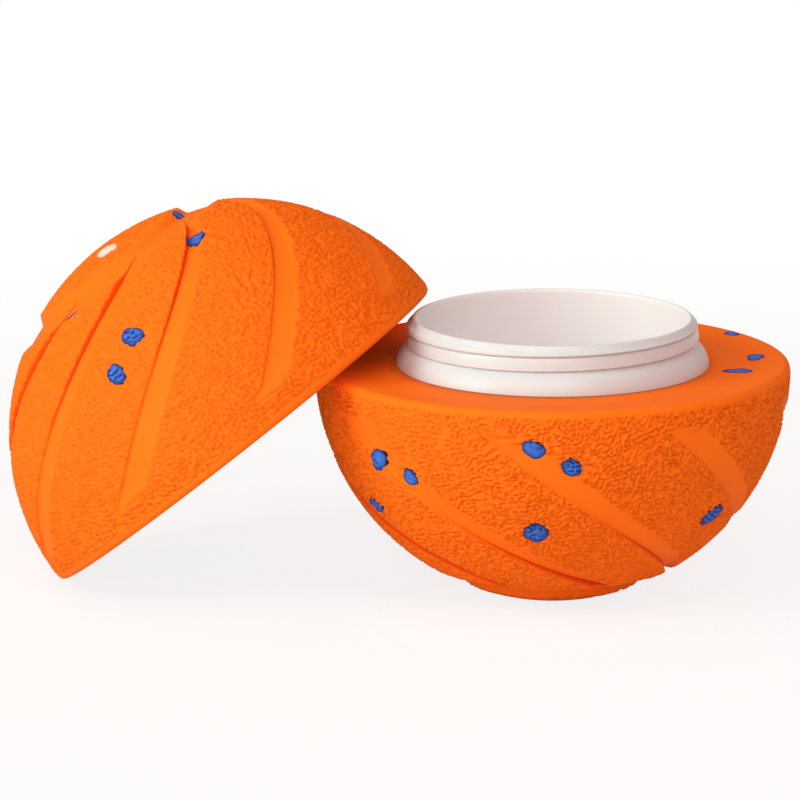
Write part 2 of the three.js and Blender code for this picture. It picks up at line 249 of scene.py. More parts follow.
def buildBallSkin():
    tree = newTree("ballSkin", ["Side", "Phase", "Proud"] + skinAngles + skinLengths + skinNumbers)
    given = addNode(tree, "NodeGroupInput").outputs
    place = addNode(tree, "GeometryNodeInputPosition")
    skin = addNode(tree, "GeometryNodeInputNamedAttribute", {"data_type": "FLOAT"}, {"Name": "skin"})
    sink = addNode(tree, "GeometryNodeInputNamedAttribute", {"data_type": "FLOAT"}, {"Name": "sink"})

    # latitude above the seam, polar angle and turn
    part = addNode(tree, "ShaderNodeSeparateXYZ", {}, {0: place}).outputs
    level = addNode(tree, "ShaderNodeCombineXYZ", {}, {"X": part["X"], "Y": part["Y"]})
    reach = addNode(tree, "ShaderNodeVectorMath", {"operation": "LENGTH"}, {0: level})
    height = addNode(tree, "ShaderNodeMath", times, {0: part["Z"], 1: given["Side"]})
    latitude = addNode(tree, "ShaderNodeMath", {"operation": "ARCTAN2"}, {0: height, 1: reach})
    polar = addNode(tree, "ShaderNodeMath", minus, {0: math.pi / 2, 1: latitude})
    turn = addNode(tree, "ShaderNodeMath", {"operation": "ARCTAN2"}, {0: part["Y"], 1: part["X"]})

    # stretched latitude, so that each groove keeps one angle to the seam
    capEdge = addNode(tree, "ShaderNodeMath", minus, {0: math.pi / 2, 1: given["Ring Cap"]})
    lowered = addNode(tree, "ShaderNodeMath", smaller, {0: latitude, 1: capEdge})
    halved = addNode(tree, "ShaderNodeMath", timesPlus, {0: lowered, 1: 0.5, 2: math.pi / 4})
    slope = addNode(tree, "ShaderNodeMath", {"operation": "TANGENT"}, {0: halved})
    climb = addNode(tree, "ShaderNodeMath", {"operation": "LOGARITHM"}, {0: slope, 1: math.e})
    swirl = addNode(tree, "ShaderNodeMath", timesPlus, {0: climb, 1: given["Twist"], 2: given["Phase"]})
    unwound = addNode(tree, "ShaderNodeMath", minus, {0: turn, 1: swirl})
    pitch = addNode(tree, "ShaderNodeMath", over, {0: 2 * math.pi, 1: given["Grooves"]})
    offset = addNode(tree, "ShaderNodeMath", {"operation": "FLOORED_MODULO"}, {0: unwound, 1: pitch})

    # groove, shallower and rounded off near the seam
    section = hollowSection(tree, given, offset, 0.0, given["Groove Wall"], given["Groove Width"],
                            given["Groove Shoulder"])
    ringFloor = addNode(tree, "ShaderNodeMath", plus, {0: given["Ring Cap"], 1: given["Ring Wall"]})
    ringOut = addNode(tree, "ShaderNodeMath", plus, {0: ringFloor, 1: given["Ring Ramp"]})
    ringLatitude = addNode(tree, "ShaderNodeMath", minus, {0: math.pi / 2, 1: ringOut})
    along = addNode(tree, "ShaderNodeMapRange", {},
                    {"Value": latitude, "From Min": given["Groove End"], "From Max": ringLatitude})
    alongSquared = addNode(tree, "ShaderNodeMath", times, {0: along, 1: along})
    gain = addNode(tree, "ShaderNodeMath", minus, {0: given["Depth"], 1: given["End Depth"]})
    deeper = addNode(tree, "ShaderNodeMath", timesPlus, {0: alongSquared, 1: gain, 2: given["End Depth"]})
    endLow = addNode(tree, "ShaderNodeMath", minus, {0: given["Groove End"], 1: given["Groove Fade"]})
    endHigh = addNode(tree, "ShaderNodeMath", plus, {0: given["Groove End"], 1: given["Groove Fade"]})
    rounded = addNode(tree, "ShaderNodeMapRange", softStep,
                      {"Value": latitude, "From Min": endLow, "From Max": endHigh})
    outside = addNode(tree, "ShaderNodeMath", {"operation": "GREATER_THAN"}, {0: polar, 1: ringFloor})
    sectionEnd = addNode(tree, "ShaderNodeMath", times, {0: section, 1: rounded})
    grooveShare = addNode(tree, "ShaderNodeMath", times, {0: sectionEnd, 1: outside})
    groove = addNode(tree, "ShaderNodeMath", times, {0: grooveShare, 1: deeper})

    # the painted shade in the crease at the wall's foot fades out towards the seam
    fromWall = addNode(tree, "ShaderNodeMapRange", {},
                       {"Value": offset, "From Min": given["Groove Wall"], "From Max": given["Crease"],
                        "To Min": 1.0, "To Max": 0.0})
    creaseHere = addNode(tree, "ShaderNodeMath", times, {0: fromWall, 1: grooveShare})
    creaseFade = addNode(tree, "ShaderNodeMapRange", softStep,
                         {"Value": along, "From Min": ball["creaseLow"], "From Max": ball["creaseHigh"]})
    crease = addNode(tree, "ShaderNodeMath", times, {0: creaseHere, 1: creaseFade})

    # ring round the cap at the pole
    ringSection = hollowSection(tree, given, polar, given["Ring Cap"], ringFloor, ringOut,
                                given["Ring Shoulder"])
    ring = addNode(tree, "ShaderNodeMath", times, {0: ringSection, 1: given["Depth"]})
    hollow = addNode(tree, "ShaderNodeMath", larger, {0: groove, 1: ring})

    # worm ridges on the lands only, right up to a groove's edge
    smoothShare = addNode(tree, "ShaderNodeMath", larger, {0: grooveShare, 1: ringSection})
    flush = addNode(tree, "ShaderNodeMapRange", {},
                    {"Value": smoothShare, "From Min": ball["flushLow"], "From Max": ball["flushHigh"],
                     "To Min": 1.0, "To Max": 0.0})
    margin = addNode(tree, "ShaderNodeMapRange", softStep,
                     {"Value": latitude, "From Min": given["Margin Low"], "From Max": given["Margin High"]})
    flushSkin = addNode(tree, "ShaderNodeMath", times, {0: flush, 1: skin})
    land = addNode(tree, "ShaderNodeMath", times, {0: flushSkin, 1: margin})
    wormPatch = addNode(tree, "ShaderNodeMath", times, {0: given["Worm Spacing"], 1: given["Worm Waves"]})
    wormScale = addNode(tree, "ShaderNodeMath", over, {0: 1.0, 1: wormPatch})
    worm = addNode(tree, "ShaderNodeTexGabor", {"gabor_type": "3D"},
                   {"Vector": place, "Scale": wormScale, "Frequency": given["Worm Waves"], "Anisotropy": 0.0})
    crest = addNode(tree, "ShaderNodeMapRange", softStep,
                    {"Value": worm.outputs["Value"],
                     "From Min": ball["crestLow"], "From Max": ball["crestHigh"],
                     "To Min": ball["crestProud"] - 1, "To Max": ball["crestProud"]})
    crestLand = addNode(tree, "ShaderNodeMath", times, {0: crest, 1: land})
    ridge = addNode(tree, "ShaderNodeMath", timesPlus,
                    {0: crestLand, 1: given["Ridge Height"], 2: given["Proud"]})

    raised = addNode(tree, "ShaderNodeMath", minus, {0: ridge, 1: hollow})
    let = addNode(tree, "ShaderNodeMath", minus, {0: raised, 1: sink})
    step = addNode(tree, "ShaderNodeMath", times, {0: let, 1: skin})
    outward = addNode(tree, "ShaderNodeVectorMath", {"operation": "NORMALIZE"}, {0: place})
    move = addNode(tree, "ShaderNodeVectorMath", {"operation": "SCALE"}, {0: outward, "Scale": step})

    # the material reads these
    wormShare = addNode(tree, "ShaderNodeMath", plus, {0: crest, 1: 1 - ball["crestProud"]})
    kept = addNode(tree, "GeometryNodeStoreNamedAttribute", {"data_type": "FLOAT_VECTOR"},
                   {"Geometry": given["Geometry"], "Name": "rest", "Value": place})
    # crease carries the painted shade at each groove wall's foot to the material
    for label, value in (("land", land), ("worm", wormShare), ("crease", crease)):
        kept = addNode(tree, "GeometryNodeStoreNamedAttribute", {"data_type": "FLOAT"},
                       {"Geometry": kept, "Name": label, "Value": value})
    return closeTree(tree, given, kept, move)


def ballSetting(label):  # a tree's "Groove Width" is the dictionary's grooveWidth
    return ball[label[0].lower() + label[1:].replace(" ", "")]


def skinValues(side, phase, proud, material):
    values = {"Material": material, "Side": float(side), "Phase": math.radians(phase), "Proud": proud * mm}
    values.update({label: math.radians(ballSetting(label)) for label in skinAngles})
    values.update({label: ballSetting(label) * mm for label in skinLengths})
    values.update({label: float(ballSetting(label)) for label in skinNumbers})
    return values


# turns at the sides of every key or slot, a pair at each side
def keyPins(half):
    sides = (-half - keys["side"], -half, half, half + keys["side"])
    return [keyTurn * k + side for k in range(keys["count"]) for side in sides]


def fromKey(turn):  # angle from the middle of the nearest key
    return (turn + keyTurn / 2) % keyTurn - keyTurn / 2


# A closed half ball, pole up: room, seam face, rounded edge, then the skin up to the pole or the foot.
# Every row is a ring in eight sectors, and each row has as many columns as its cells need
def halfBall(name, side, phase, room, slot, pockets):
    radius, count = ball["radius"], ball["grooves"]
    hasFoot = side < 0  # only the lower half stands on a flat
    pitch = 360 / count
    points, skin, faces = [], [], []

    def addRing(r, z, sectors, start, onSkin=0.0):
        ring = []
        for k, offsets in enumerate(sectors):
            ring.append(list(range(len(points), len(points) + len(offsets))))
            for offset in offsets:
                turn = math.radians(start + k * pitch + offset)
                points.append((r * math.cos(turn), r * math.sin(turn), z))
                skin.append(onSkin)
        return [ring[k] + [ring[(k + 1) % count][0]] for k in range(count)]

    def addPole(z, onSkin=0.0):
        points.append((0.0, 0.0, z))
        skin.append(onSkin)
        return [[len(points) - 1]] * count

    def far(a, b):
        return sum((p - q) ** 2 for p, q in zip(points[a], points[b]))

    # joins two rings by the shorter diagonal, and groove columns one to one, so that they follow the groove
    def stitch(below, above, groove=0):
        for a, b in zip(below, above):
            spans = [(a, b, False)]
            if groove:
                spans = [(a[:groove + 1], b[:groove + 1], True), (a[groove:], b[groove:], False)]
            for p, q, paired in spans:
                i = j = 0
                while i < len(p) - 1 or j < len(q) - 1:
                    lowFirst = i <= j if paired else (
                        j == len(q) - 1 or i < len(p) - 1 and far(p[i + 1], q[j]) <= far(p[i], q[j + 1]))
                    if lowFirst and i < len(p) - 1:
                        faces.append((p[i], p[i + 1], q[j]))
                        i += 1
                    else:
                        faces.append((p[i], q[j + 1], q[j]))
                        j += 1

    def evenSectors(columns):
        return [[pitch * i / columns for i in range(columns)]] * count

    # room columns, with a pair at each side of a key's slot
    roomSectors = [list(s) for s in evenSectors(ball["roomColumns"])]
    slotHalf = math.degrees((keys["width"] / 2 + fit) / slot["radius"])
    for pin in keyPins(slotHalf):
        sector, offset = divmod((pin - phase) % 360, pitch)
        roomSectors[int(sector)].append(offset)
    roomSectors = [sorted(s) for s in roomSectors]

    last = addPole(room[0][1])
    for r, z in room[1:]:
        ring = addRing(r, z, roomSectors, phase)
        if slot["low"] - slack <= z <= slot["high"] + slack:
            for index in {i for s in ring for i in s}:
                x, y, _ = points[index]
                if abs(fromKey(math.degrees(math.atan2(y, x)))) < slotHalf + slack:
                    points[index] = (x * slot["radius"] / r, y * slot["radius"] / r, z)
        stitch(last, ring)
        last = ring

    # seam face, its rim and the rounded edge
    edge = ball["seamRound"]
    roundTop = math.degrees(math.asin(edgeHeight / (radius - edge)))
    mouth = room[-1][0]
    face = [(mouth + (rimInner - mouth) * t, 0.0) for t in ball["faceSteps"]]
    face += [(rimInner + ball["rimWidth"] * t, -ball["rimRise"] * t) for t in ball["rimSteps"]]
    smoothSectors = evenSectors(ball["smoothColumns"])
    for r, z in face + arcPoints(edgeCentre, edgeHeight, edge, edge, -90, roundTop, ball["edgeRows"])[:-1]:
        ring = addRing(r, z, smoothSectors, phase)
        stitch(last, ring)
        last = ring

    # skin rows
    cell = math.degrees(ball["cell"] / radius)
    ringOut = 90 - ball["ringCap"] - ball["ringWall"] - ball["ringRamp"]
    ringFloor = 90 - ball["ringCap"] - ball["ringWall"]
    capEdge = 90 - ball["ringCap"]
    top = 90 - math.degrees(math.asin(ball["footRadius"] / radius)) if hasFoot else 90 - cell
    low = ball["groovesFrom"]
    latitudes = evenSteps(roundTop, low, round((low - roundTop) / cell))[:-1]
    latitudes += evenSteps(low, ringOut, round((ringOut - low) / cell))
    latitudes += evenSteps(ringOut, ringFloor, ball["ringRows"])[1:]
    latitudes += evenSteps(ringFloor, capEdge, ball["ringWallRows"])[1:]
    latitudes += evenSteps(capEdge, top, round((top - capEdge) / cell))[1:]
    wall, width = ball["grooveWall"], ball["grooveWidth"]
    brow = width - ball["grooveShoulder"]
    grooveColumns = evenSteps(0, wall, ball["wallColumns"])
    grooveColumns += evenSteps(ball["crease"], brow, ball["floorColumns"])
    grooveColumns += evenSteps(brow, width, ball["shoulderColumns"])[1:-1]
    grooved = False
    for latitude in latitudes:
        a = math.radians(latitude)
        fine = radius * math.cos(a) * math.radians(pitch) / ball["cell"]
        lift = math.log(math.tan(math.pi / 4 + min(a, math.radians(capEdge)) / 2))
        start = phase + math.degrees(ball["twist"] * lift)
        nowGrooved = low - slack < latitude < ringFloor - slack
        if nowGrooved:
            inRing = latitude > ringOut + slack
            columns = ball["ringLandColumns"] if inRing else max(2, round(fine * (1 - width / pitch)))
            sectors = [grooveColumns + evenSteps(width, pitch, columns)[:-1]] * count
        else:
            onWall = ringFloor - slack <= latitude < capEdge - slack
            sectors = evenSectors(ball["ringColumns"] if onWall else max(1, round(fine)))
        onSkin = min(1.0, (top - latitude) / ball["footFade"]) if hasFoot else 1.0
        ring = addRing(radius * math.cos(a), radius * math.sin(a), sectors, start, onSkin)
        stitch(last, ring, len(grooveColumns) if grooved and nowGrooved else 0)
        last, grooved = ring, nowGrooved
    if hasFoot:
        foot = radius * math.sin(math.radians(top))
        for share in ball["footSteps"]:
            ring = addRing(ball["footRadius"] * share, foot, evenSectors(ball["footColumns"]), start)
            stitch(last, ring)
            last = ring
        stitch(last, addPole(foot))
    else:
        stitch(last, addPole(radius, 1.0))

    place = np.array(points) * mm
    if side < 0:
        place[:, 2] *= -1
        faces = [f[::-1] for f in faces]
    # the skin drops away under each fleck, so that the fleck is let into it
    sink = np.zeros(len(place))
    for pocket in pockets:
        x, y = place @ pocket["east"], place @ pocket["north"]
        near = (place @ pocket["outward"] > 0) & (np.array(skin) > 0.5)
        x, y = x - pocket["centre"][0], y - pocket["centre"][1]
        edgeAt = np.interp(np.arctan2(y, x) % (2 * math.pi), pocket["angles"], pocket["reach"])
        sink[near & (np.hypot(x, y) < edgeAt - flecks["rim"] * mm)] = flecks["sunk"] * mm
    return newMesh(name, place, faces, {"skin": skin, "sink": sink})


# Flecks: torn crumbs of a second rubber, let into the skin or the seam face. Lengths in mm
flecks = {
    "rings": 14,
    "columns": 56,
    "proud": 0.06,
    "sunk": 0.6,
    "rim": 0.1,  # the skin begins to drop this far inside a fleck's edge
    "ridge": 0.45,  # share of the shells' ridge height
    "trim": 0.95,  # shares of the CAD outline that show
    "ringTrim": 0.8,
    "faceDepth": 3.2,  # a fleck on the seam face lies within this height of it
    "soften": 3,  # columns each way that round the outline's corners
    "ragged": 0.07,
    "tears": ((3, 0.625, 1.7), (5, 0.5, 2.9), (9, 0.25, 1.0)),  # waves round the edge, their share and shift
    "edge": ((0.985, 0.004), (1.0, 0.03), (0.985, 0.48), (0.5, 0.54)),  # share of the outline, depth
    "brimFrom": 0.6,  # darker from this share of the outline to the edge
    "firstUpper": 40,  # the lid's flecks are numbered from here, so that their edges differ
}


# a fleck's outline comes from its CAD node, made ragged as a torn crumb is
def fleckOutline(node, place, number):
    toHalf = place.inverted()
    corners = [toHalf @ v.co for v in frame["nodes"][node].data.vertices]
    middle = sum(corners, Vector()) / len(corners)
    onFace = max(abs(c.z) for c in corners) < flecks["faceDepth"] * mm
    outward = Vector((0, 0, 1)) if onFace else middle.normalized()
    east = Vector((-middle.y, middle.x, 0)).normalized()
    north = outward.cross(east)
    flat = [Vector((c.dot(east), c.dot(north))) for c in corners]
    hull = [flat[i] for i in convex_hull_2d(flat)]
    centre = sum(hull, Vector((0, 0))) / len(hull)
    angles = np.linspace(0, 2 * math.pi, flecks["columns"] + 1)
    reach = []
    for angle in angles[:-1]:
        ray = Vector((math.cos(angle), math.sin(angle)))
        best = 0.0
        for p, q in zip(hull, hull[1:] + hull[:1]):
            p, side = p - centre, q - p
            cross = ray.x * side.y - ray.y * side.x
            if abs(cross) < tiny ** 2:
                continue
            along = (p.x * side.y - p.y * side.x) / cross
            share = (p.x * ray.y - p.y * ray.x) / cross
            if along > 0 and -tiny <= share <= 1 + tiny:
                best = max(best, along)
        reach.append(best)
    reach = np.array(reach)
    soften = flecks["soften"]
    reach = sum(np.roll(reach, k) for k in range(-soften, soften + 1)) / (2 * soften + 1)
    torn = sum(part * np.sin(waves * angles[:-1] + shift * number) for waves, part, shift in flecks["tears"])
    fromPole = math.degrees(math.acos(abs(outward.z)))
    inRing = 0 < fromPole - ball["ringCap"] < ball["ringWall"] + ball["ringRamp"]
    reach = reach * (1 + flecks["ragged"] * torn) * flecks["ringTrim" if inRing else "trim"]
    return {"node": node, "onFace": onFace, "outward": np.array(outward), "east": np.array(east),
            "north": np.array(north), "centre": np.array(centre), "angles": angles,
            "reach": np.append(reach, reach[0])}


# top rings from the middle out, a turned-down rim, and an underside sunk into the rubber
def fleckMesh(outline):
    columns, rings = flecks["columns"], flecks["rings"]
    radius = ball["radius"] * mm
    points, skin, sink, brim, faces = [], [], [], [], []

    def put(share, turn, down):
        r = share * outline["reach"][turn]
        angle = outline["angles"][turn]
        x, y = outline["centre"] + r * np.array([math.cos(angle), math.sin(angle)])
        level = x * outline["east"] + y * outline["north"]
        if outline["onFace"]:
            out = math.hypot(level[0], level[1]) / mm
            climbed = ball["rimRise"] * min(1, max(0, (out - rimInner) / ball["rimWidth"]))
            if out > edgeCentre:
                drop = min(ball["seamRound"], out - edgeCentre)
                climbed = math.sqrt(ball["seamRound"] ** 2 - drop ** 2) - edgeHeight
            rise = (climbed + flecks["proud"]) * mm - down
        else:
            rise = math.sqrt(radius ** 2 - x * x - y * y)
        points.append(level + rise * outline["outward"])
        skin.append(0.0 if outline["onFace"] else 1.0)
        sink.append(down)
        brim.append(max(0.0, share - flecks["brimFrom"]) / (1 - flecks["brimFrom"]))

    rows = [(i / rings, 0.0) for i in range(1, rings)]
    rows += [(share, down * mm) for share, down in flecks["edge"]]
    put(0.0, 0, 0.0)
    for share, down in rows:
        for turn in range(columns):
            put(share, turn, down)
    put(0.0, 0, rows[-1][1])
    end = len(points) - 1
    for turn in range(columns):
        ahead = (turn + 1) % columns
        faces.append((0, 1 + turn, 1 + ahead))
        for row in range(len(rows) - 1):
            low, high = 1 + row * columns, 1 + (row + 1) * columns
            faces.append((low + turn, high + turn, high + ahead, low + ahead))
        low = 1 + (len(rows) - 1) * columns
        faces.append((low + turn, end, low + ahead))
    return newMesh(outline["node"], points, faces, {"skin": skin, "sink": sink, "brim": brim})


# Jar, lid liner and seal are turned, so one profile each and a tree that raises the thread. Lengths in mm
jar = {
    "bore": 21.7,
    "neckWall": 0.9,
    "outer": 23.8,
    "straight": 6.5,
    "bowlDepth": 29.0,
    "bottomWall": 2.1,
    "skirtHeight": 3.2,
    "skirt": [(24.0, 0.02), (25.0, 0.02), (25.12, 0.05), (25.15, 0.15), (24.98, 0.9), (24.62, 1.7),
              (24.15, 2.45), (23.6, 3.0)],  # radius and height, from the seam face up
    "underSkirt": 0.05,  # the wall stops this far under the seam face
    "threadTop": 6.95,
    "lipHeight": 0.6,
    "lipFade": 0.6,  # share of the thread's height that is lost under the lip
    "lipStart": 25,  # degrees up the lip's round
    "boreTop": 0.5,  # the bore starts this far under the lip
    "boreFoot": 1.0,  # and stops this far over the bowl
    "roomEnd": 2,  # degrees up the bowl where its room in the rubber turns straight
    "columns": 192,
    "bowlRows": 24,
    "skirtRows": 4,
    "threadRows": 60,
    "lipRows": 12,
    "boreRows": 6,
    "insideRows": 28,
    "roomRows": 18,
}
# each band leans in towards its top and is undercut at its foot, and the neck keeps some height between bands
thread = {
    "height": 0.9,
    "between": 0.3,  # share of the height
    "pitch": 2.34,
    "turn": -81.0,
    "rise": 0.24,
    "undercut": 0.14,
    "lean": 0.4,
}
liner = {
    "mouth": 29.2,
    "mouthHeight": 1.0,
    "mouthLip": 0.08,
    "flange": 31.5,
    "flangeThickness": 1.8,
    "bevel": 0.15,
    "bore": 24.1,
    "skirtBore": 25.45,
    "skirtRoom": 2.2,
    "sealBore": 25.3,
    "sealFloor": 6.55,
    "sealRoof": 8.65,
    "corner": 0.2,
    "round": 0.3,
    "domeBore": 21.4,
    "wall": 1.8,
    "outer": 27.1,
    "shoulder": 10.45,
    "columns": 160,
    "domeRows": 24,
    "threadRows": 36,
    "roomRows": 18,
}
seal = {
    "inner": 21.0,
    "outer": 25.0,
    "low": 6.55,
    "high": 8.35,
    "round": 0.45,
    "columns": 128,
    "cornerRows": 5,
}


def buildScrewThread():
    tree = newTree("screwThread", ["Pitch", "Turn", "Start", "Height", "Undercut", "Lean", "Base", "Gain"])
    given = addNode(tree, "NodeGroupInput").outputs
    place = addNode(tree, "GeometryNodeInputPosition")
    raisedShare = addNode(tree, "GeometryNodeInputNamedAttribute", {"data_type": "FLOAT"}, {"Name": "thread"})
    part = addNode(tree, "ShaderNodeSeparateXYZ", {}, {0: place}).outputs
    turn = addNode(tree, "ShaderNodeMath", {"operation": "ARCTAN2"}, {0: part["Y"], 1: part["X"]})
    fromStart = addNode(tree, "ShaderNodeMath", minus, {0: turn, 1: given["Turn"]})
    perTurn = addNode(tree, "ShaderNodeMath", over, {0: fromStart, 1: 2 * math.pi})
    above = addNode(tree, "ShaderNodeMath", minus, {0: part["Z"], 1: given["Start"]})
    inPitches = addNode(tree, "ShaderNodeMath", over, {0: above, 1: given["Pitch"]})
    phase = addNode(tree, "ShaderNodeMath", minus, {0: inPitches, 1: perTurn})
    upBand = addNode(tree, "ShaderNodeMath", {"operation": "FRACT"}, {0: phase})
    foot = addNode(tree, "ShaderNodeMapRange", softStep,
                   {"Value": upBand, "From Min": 0.0, "From Max": given["Undercut"]})
    toTop = addNode(tree, "ShaderNodeMath", minus, {0: 1.0, 1: upBand})
    leaning = addNode(tree, "ShaderNodeMath", {"operation": "POWER"}, {0: toTop, 1: given["Lean"]})
    band = addNode(tree, "ShaderNodeMath", times, {0: foot, 1: leaning})
    form = addNode(tree, "ShaderNodeMath", timesPlus, {0: band, 1: given["Gain"], 2: given["Base"]})
    size = addNode(tree, "ShaderNodeMath", times, {0: form, 1: given["Height"]})
    step = addNode(tree, "ShaderNodeMath", times, {0: size, 1: raisedShare})
    level = addNode(tree, "ShaderNodeCombineXYZ", {}, {"X": part["X"], "Y": part["Y"]})
    outward = addNode(tree, "ShaderNodeVectorMath", {"operation": "NORMALIZE"}, {0: level})
    move = addNode(tree, "ShaderNodeVectorMath", {"operation": "SCALE"}, {0: outward, "Scale": step})
    return closeTree(tree, given, given["Geometry"], move)


# base is the thread's level between bands and gain what a band adds, as shares of its height
def threadValues(material, base=0.0, gain=0.0, height=0.0, lowered=0.0):
    return {
        "Material": material,
        "Pitch": thread["pitch"] * mm,
        "Turn": math.radians(thread["turn"]),
        "Start": (jar["skirtHeight"] + thread["rise"] - lowered) * mm,
        "Height": height * mm,
        "Undercut": thread["undercut"],
        "Lean": thread["lean"],
        "Base": base,
        "Gain": gain,
    }


# profile rows are radius, height and share of the thread, up the outside and down the inside
def turnedMesh(name, profile, columns, key=None):
    turns = [360 * i / columns for i in range(columns)]
    keyHalf = 0.0
    if key:
        keyHalf = math.degrees(keys["width"] / 2 / key["radius"])
        turns = sorted(turns + [pin % 360 for pin in keyPins(keyHalf)])
    points, share, inner, rows, faces = [], [], [], [], []
    heights = [row[1] for row in profile]
    for (r, z, part), before, after in zip(profile, heights[:1] + heights, heights[1:] + heights[-1:]):
        falls = float(after < before)
        if r < tiny:
            rows.append([len(points)] * len(turns))
            points.append((0.0, 0.0, z * mm))
            share.append(0.0)
            inner.append(falls)
            continue
        hasKey = key and key["low"] < z < key["high"] and r > keys["nearWall"] * key["radius"]
        rows.append(list(range(len(points), len(points) + len(turns))))
        for turn in turns:
            out = key["radius"] if hasKey and abs(fromKey(turn)) < keyHalf + slack else r
            a = math.radians(turn)
            points.append((out * mm * math.cos(a), out * mm * math.sin(a), z * mm))
            share.append(part)
            inner.append(falls)
    pairs = list(zip(rows, rows[1:]))
    if profile[0][0] > tiny:  # a ring's profile closes on itself
        pairs.append((rows[-1], rows[0]))
    for below, above in pairs:
        for i in range(len(turns)):
            k = (i + 1) % len(turns)
            face = (below[i], below[k], above[k], above[i])
            if below[i] == below[k]:
                face = (below[i], above[k], above[i])
            elif above[i] == above[k]:
                face = (below[i], below[k], above[i])
            faces.append(face)
    return newMesh(name, points, faces, {"thread": share, "inner": inner})


def smoothLine(points, perSpan):  # a soft line through the points
    padded = [points[0]] + points + [points[-1]]
    line = []
    for i in range(len(points) - 1):
        a, b, c, d = (np.array(p) for p in padded[i:i + 4])
        for t in np.linspace(0, 1, perSpan, endpoint=False):
            line.append(tuple(0.5 * (2 * b + (c - a) * t + (2 * a - 5 * b + 4 * c - d) * t ** 2
                                     + (3 * b - a - 3 * c + d) * t ** 3)))
    return line + [tuple(points[-1])]


def plainRows(points):
    return [(r, z, 0.0) for r, z in points]


def keyOn(wall, foot):
    return {"radius": wall + keys["reach"], "low": foot, "high": foot + keys["height"]}


jarKey = keyOn(jar["outer"], -keys["drop"] - keys["height"])
linerKey = keyOn(liner["outer"], liner["flangeThickness"] + keys["drop"])


def jarProfile():
    bowlHeight = jar["bowlDepth"] - jar["straight"]
    keyFoot, keyTop = jarKey["low"] + keys["end"], jarKey["high"] - keys["end"]
    rows = plainRows(arcPoints(0, -jar["straight"], jar["outer"], bowlHeight, -90, 0, jar["bowlRows"]))
    rows += plainRows([(jar["outer"], z) for z in (keyFoot, keyTop, jarKey["high"], -jar["underSkirt"])])
    rows += plainRows(smoothLine(jar["skirt"], jar["skirtRows"]))
    root, top, lip = jar["bore"] + jar["neckWall"], jar["threadTop"], jar["lipHeight"]
    for z in evenSteps(jar["skirtHeight"], top, jar["threadRows"]):
        t = min(1, max(0, (z - top + lip) / lip))
        rows.append((root, z, 1 - jar["lipFade"] * t * t * (3 - 2 * t)))
    half = jar["neckWall"] / 2
    rows += plainRows(arcPoints(root - half, top, half, lip, jar["lipStart"], 180, jar["lipRows"]))
    straight = evenSteps(top - jar["boreTop"], -jar["straight"] + jar["boreFoot"], jar["boreRows"])
    rows += plainRows([(jar["bore"], z) for z in straight])
    inside = bowlHeight - jar["bottomWall"]
    return rows + plainRows(arcPoints(0, -jar["straight"], jar["bore"], inside, 0, -90, jar["insideRows"]))


def linerProfile():
    corner, soft, bevel = liner["corner"], liner["round"], liner["bevel"]
    roof, seat, skirt = liner["sealRoof"], liner["sealBore"], liner["skirtBore"]
    flange, thick = liner["flange"], liner["flangeThickness"]
    dome = jar["bowlDepth"] - liner["wall"] - roof
    rows = plainRows(arcPoints(0, roof, liner["domeBore"], dome, 90, 0, liner["domeRows"]))
    rows += plainRows([(seat - corner, roof), (seat, roof - corner), (seat, liner["sealFloor"] - corner / 2)])
    low, high = liner["skirtRoom"] + soft, liner["sealFloor"] - soft
    for z in evenSteps(high, low, liner["threadRows"]):
        rows.append((liner["bore"], z, math.sin(math.pi * (high - z) / (high - low))))
    rows += plainRows([
        (skirt - corner, liner["skirtRoom"] + corner / 2),
        (skirt, liner["skirtRoom"] - corner),
        (skirt, liner["mouthHeight"] + soft),
        (skirt + soft, liner["mouthHeight"]),
        (liner["mouth"] - soft, liner["mouthLip"]),
        (liner["mouth"], 0.0),
        (flange - bevel, 0.0),
        (flange, bevel),
        (flange, thick - bevel),
        (flange - bevel, thick),
        (liner["outer"], thick),
    ])
    low, high, shoulder = linerKey["low"], linerKey["high"], liner["shoulder"]
    keyEnds = [low, low + keys["end"], high - keys["end"], high]
    rows += plainRows([(liner["outer"], z) for z in keyEnds + [shoulder - soft]])
    rows += plainRows([(liner["outer"] - soft, shoulder)])
    outerDome = arcPoints(0, shoulder, liner["domeBore"] + liner["wall"], jar["bowlDepth"] - shoulder,
                          0, 90, liner["domeRows"])
    return rows + plainRows(outerDome)


def sealProfile():
    r = seal["round"]
    corners = [(seal["outer"] - r, seal["low"] + r, -90), (seal["outer"] - r, seal["high"] - r, 0),
               (seal["inner"] + r, seal["high"] - r, 90), (seal["inner"] + r, seal["low"] + r, 180)]
    rows = []
    for cx, cz, start in corners:
        rows += plainRows(arcPoints(cx, cz, r, r, start, start + 90, seal["cornerRows"]))
    return rows


# a moulded skin's fine grain, in its roughness and as bump
def mouldedGrain(tree, place, skin, middle):
    grain = addNode(tree, "ShaderNodeTexNoise", {},
                    {"Vector": place, "Scale": 1 / (skin["grain"] * mm), "Detail": 2.0}).outputs["Fac"]
    roughness = addNode(tree, "ShaderNodeMapRange", {},
                        {"Value": grain, "From Min": skin["low"], "From Max": skin["high"],
                         "To Min": middle - skin["uneven"], "To Max": middle + skin["uneven"]})
    bump = addNode(tree, "ShaderNodeBump", {},
                   {"Strength": skin["bump"], "Distance": skin["grainDepth"] * mm, "Height": grain})
    return roughness, bump


# Moulded natural rubber, coloured all through: matt, with a soft broad shine. The hollows of the texture and
# the foot of each groove's wall take the darker hollow colour: painted shade, where shade falls in them.
# Real grain is near 0.05 mm, too fine to show, so it is drawn at 0.35 mm
rubber = {"grain": 0.35, "grainDepth": 0.02, "bump": 0.25, "uneven": 0.06, "low": 0.3, "high": 0.7,
          "ior": 1.52}


